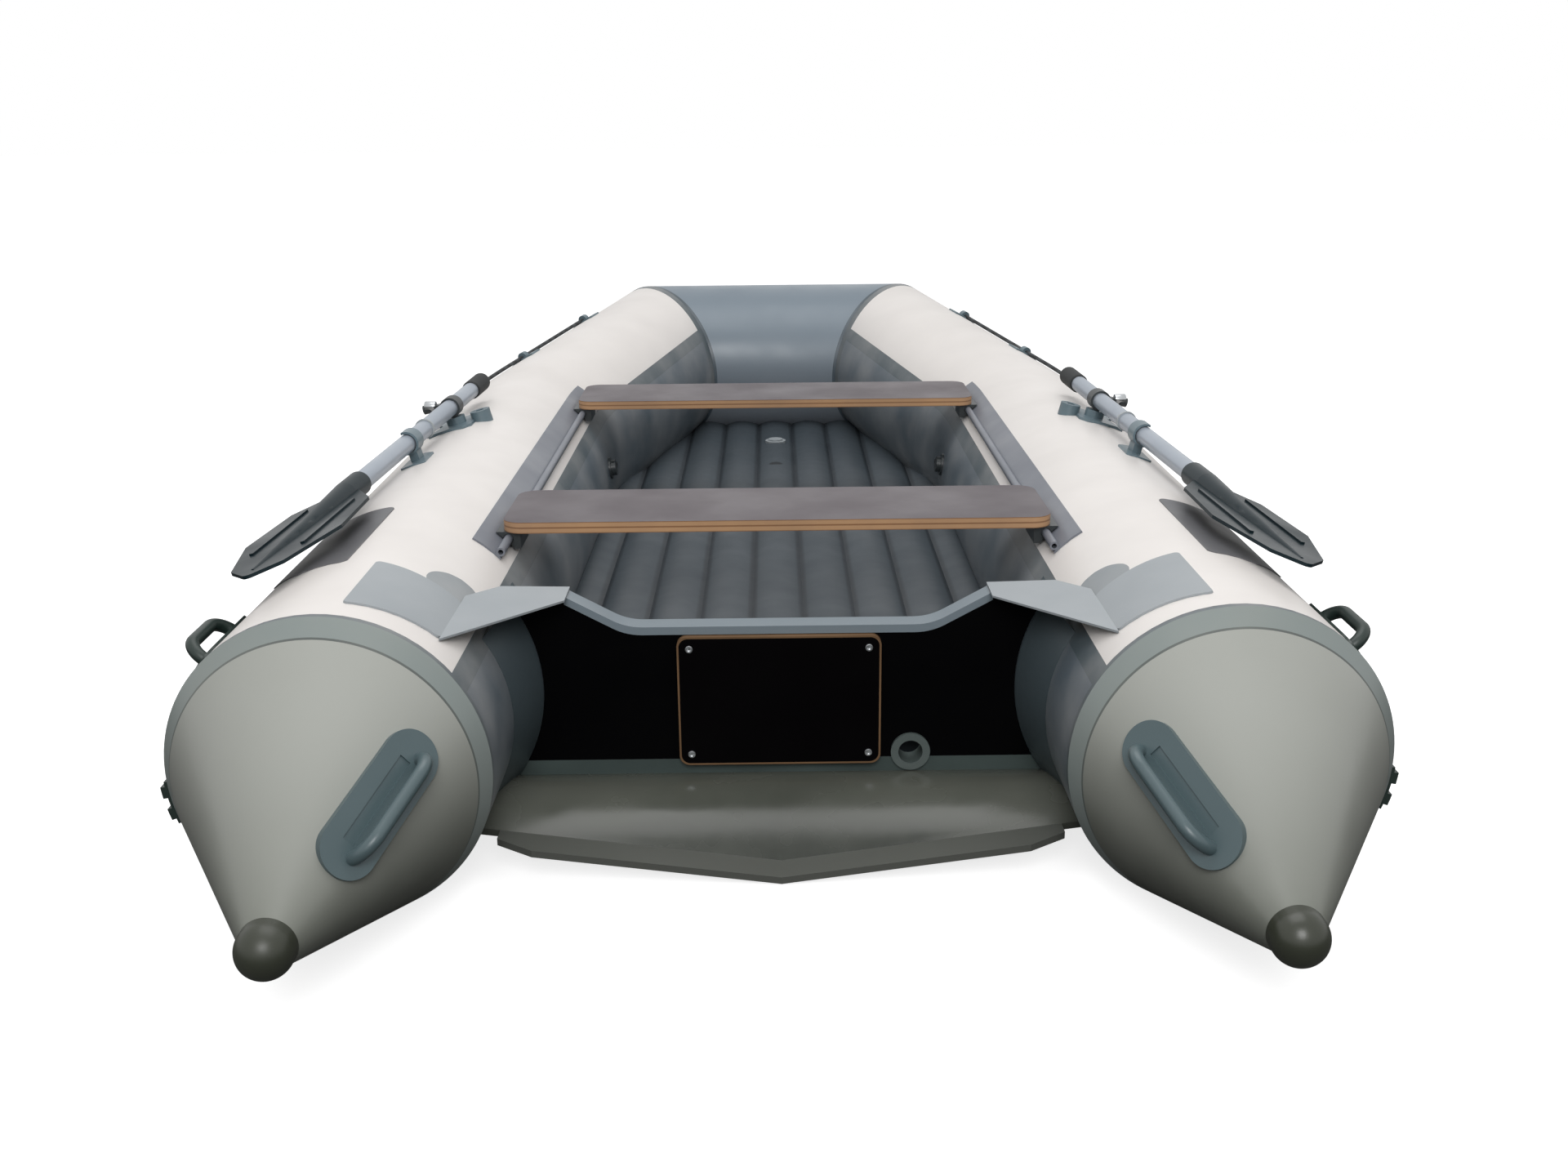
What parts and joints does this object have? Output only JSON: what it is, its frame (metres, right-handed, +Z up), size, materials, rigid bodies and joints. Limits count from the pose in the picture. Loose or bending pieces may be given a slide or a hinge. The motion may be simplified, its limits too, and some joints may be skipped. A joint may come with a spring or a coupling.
{
  "type": "inflatable boat with transom",
  "caption": "Inflatable tender with round side tubes, raised bow segment, stern cones, air floor, motor transom, sliding bench seats and stowed oars.",
  "frame": {"origin": "middle of the boat on the plane that its tubes stand on", "axes": "+X starboard, +Y towards the bow, +Z up"},
  "size_m": [1.6036, 3.2357, 0.5149],
  "materials": {
    "pvc_ivory": "satin coated fabric",
    "pvc_blue_grey": "satin coated fabric",
    "pvc_olive_grey": "satin coated fabric",
    "pvc_slate": "satin coated fabric",
    "pvc_light_grey": "satin coated fabric",
    "plastic_dark": "moulded",
    "plastic_light": "moulded",
    "plastic_blue_grey": "moulded",
    "plastic_blade": "moulded",
    "ply_black": "film-faced plywood",
    "ply_seat": "film-faced plywood with a bare edge",
    "aluminium_tube": "satin anodised",
    "rubber_black": "matt",
    "steel_ring": "polished",
    "rope_black": "braided"
  },
  "bodies": {
    "hull": {"side_tube_starboard": "pvc_ivory", "side_tube_port": "pvc_ivory", "bow_tube": "pvc_blue_grey", "stern_cone_starboard": "pvc_olive_grey", "stern_cone_port": "pvc_olive_grey", "cone_cap_starboard": "plastic_dark", "cone_cap_port": "plastic_dark", "transom_board": "ply_black", "transom_edge_profile": "pvc_light_grey", "motor_pad_aft": "ply_black", "motor_pad_fore": "ply_black", "drain_valve": "plastic_dark", "transom_flap_starboard": "pvc_light_grey", "transom_flap_port": "pvc_light_grey", "transom_holder_starboard": "pvc_blue_grey", "transom_holder_port": "pvc_blue_grey", "air_floor": "pvc_slate", "hull_bottom": "pvc_olive_grey", "planing_strip": "plastic_dark", "floor_valve": "plastic_light", "seat_rail_starboard": "pvc_light_grey", "seat_rail_port": "pvc_light_grey", "rowlock_base_starboard": "plastic_blue_grey", "rowlock_base_port": "plastic_blue_grey", "oar_clip_starboard": "plastic_blue_grey", "oar_clip_port": "plastic_blue_grey", "oar_patch_starboard": "pvc_blue_grey", "oar_patch_port": "pvc_blue_grey", "rubbing_strake_starboard": "rubber_black", "rubbing_strake_port": "rubber_black", "side_handle_starboard": "rubber_black", "side_handle_port": "rubber_black", "cone_handle_starboard": "plastic_blue_grey", "cone_handle_port": "plastic_blue_grey", "tube_valve_starboard": "plastic_dark", "tube_valve_port": "plastic_dark", "bow_tow_ring": "steel_ring", "bow_handle": "rubber_black", "lifeline_starboard": "rope_black", "lifeline_port": "rope_black", "lifeline_eyelets_starboard": "plastic_blue_grey", "lifeline_eyelets_port": "plastic_blue_grey"},
    "aft_seat": {"aft_seat_board": "ply_seat", "aft_seat_brackets": "plastic_dark"},
    "fore_seat": {"fore_seat_board": "ply_seat", "fore_seat_brackets": "plastic_dark"},
    "oar_port": {"oar_shaft_port": "aluminium_tube", "oar_grip_port": "rubber_black", "oar_blade_port": "plastic_blade", "rowlock_collar_port": "rubber_black"},
    "oar_starboard": {"oar_shaft_starboard": "aluminium_tube", "oar_grip_starboard": "rubber_black", "oar_blade_starboard": "plastic_blade", "rowlock_collar_starboard": "rubber_black"}
  },
  "joints": [
    {"name": "aft_seat_slide", "type": "slide", "parent": "hull", "child": "aft_seat", "axis": [0, 1, 0], "range_m": [-0.06, 0.34]},
    {"name": "fore_seat_slide", "type": "slide", "parent": "hull", "child": "fore_seat", "axis": [0, 1, 0], "range_m": [-0.44, 0]},
    {"name": "oar_starboard_swing", "type": "hinge", "parent": "hull", "child": "oar_starboard", "pos_m": [0.641, -0.07687, 0.452], "axis": [0.2451, -0.0093, 0.9695], "range_deg": [0, 125]},
    {"name": "oar_port_swing", "type": "hinge", "parent": "hull", "child": "oar_port", "pos_m": [-0.641, -0.07687, 0.452], "axis": [0.2451, 0.0093, -0.9695], "range_deg": [0, 125]}
  ]
}
